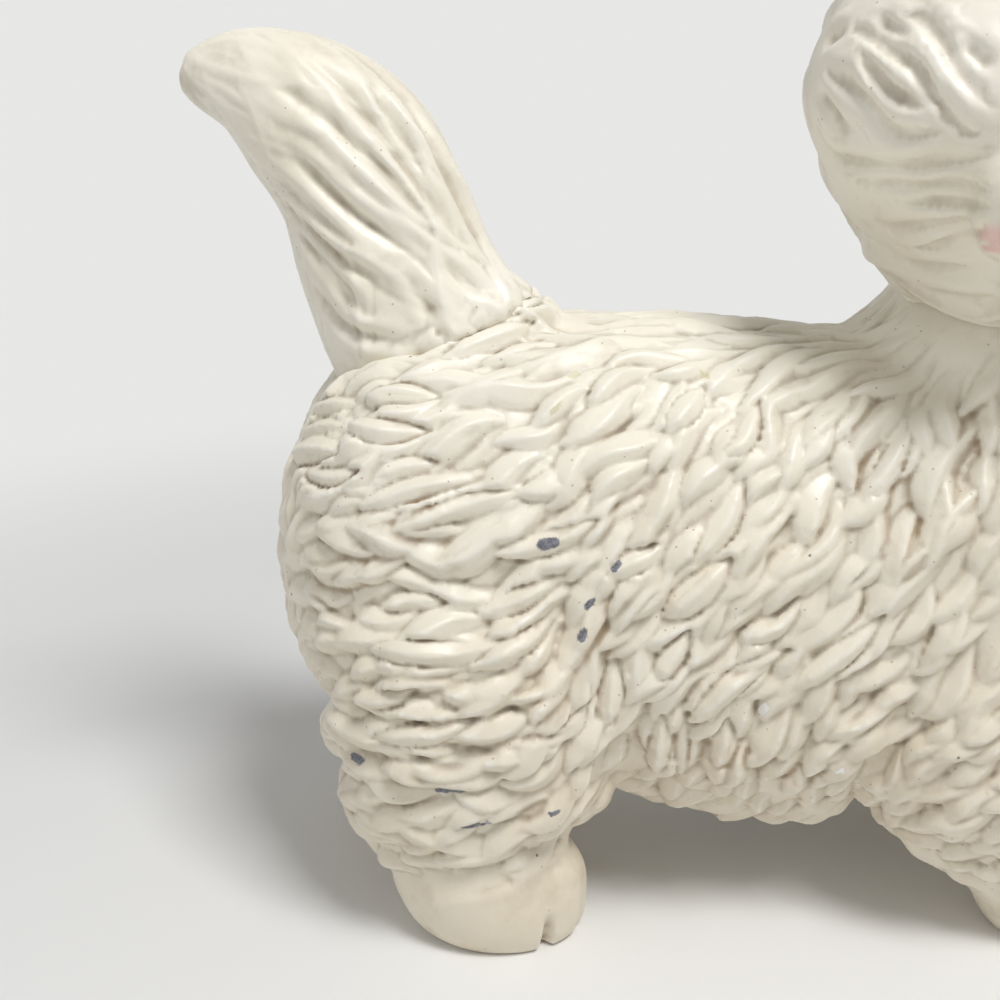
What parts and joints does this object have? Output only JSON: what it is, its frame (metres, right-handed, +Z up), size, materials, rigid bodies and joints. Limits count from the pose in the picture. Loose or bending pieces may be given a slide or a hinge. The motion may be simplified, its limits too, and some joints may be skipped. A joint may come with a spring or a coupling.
{
  "type": "chalkware figure",
  "caption": "Cream glazed plaster figure of a shaggy terrier puppy standing with its tail up and its head turned to its right, cast in pieces and luted together over wires.",
  "frame": {"origin": "middle of the figure's box, on the plane of its soles", "axes": "+X towards the chest, -Y the dog's right side, which it looks to, +Z up"},
  "size_m": [0.2592, 0.1354, 0.2574],
  "materials": {
    "plaster_glaze": "satin glazed plaster",
    "plug_plaster": "matte bare plaster",
    "eye_glass": "gloss brown glass",
    "wire_steel": "drawn wire",
    "dowel_wood": "bare"
  },
  "bodies": {
    "root": {"right_body_shell": "plaster_glaze", "left_body_shell": "plaster_glaze", "head_shell": "plaster_glaze", "tail_casting": "plaster_glaze", "right_front_leg": "plaster_glaze", "left_front_leg": "plaster_glaze", "right_hind_leg": "plaster_glaze", "left_hind_leg": "plaster_glaze", "belly_plug": "plug_plaster", "right_eye": "eye_glass", "left_eye": "eye_glass", "right_front_wire": "wire_steel", "left_front_wire": "wire_steel", "right_hind_wire": "wire_steel", "left_hind_wire": "wire_steel", "tail_wire": "wire_steel", "neck_dowel": "dowel_wood"}
  },
  "joints": []
}
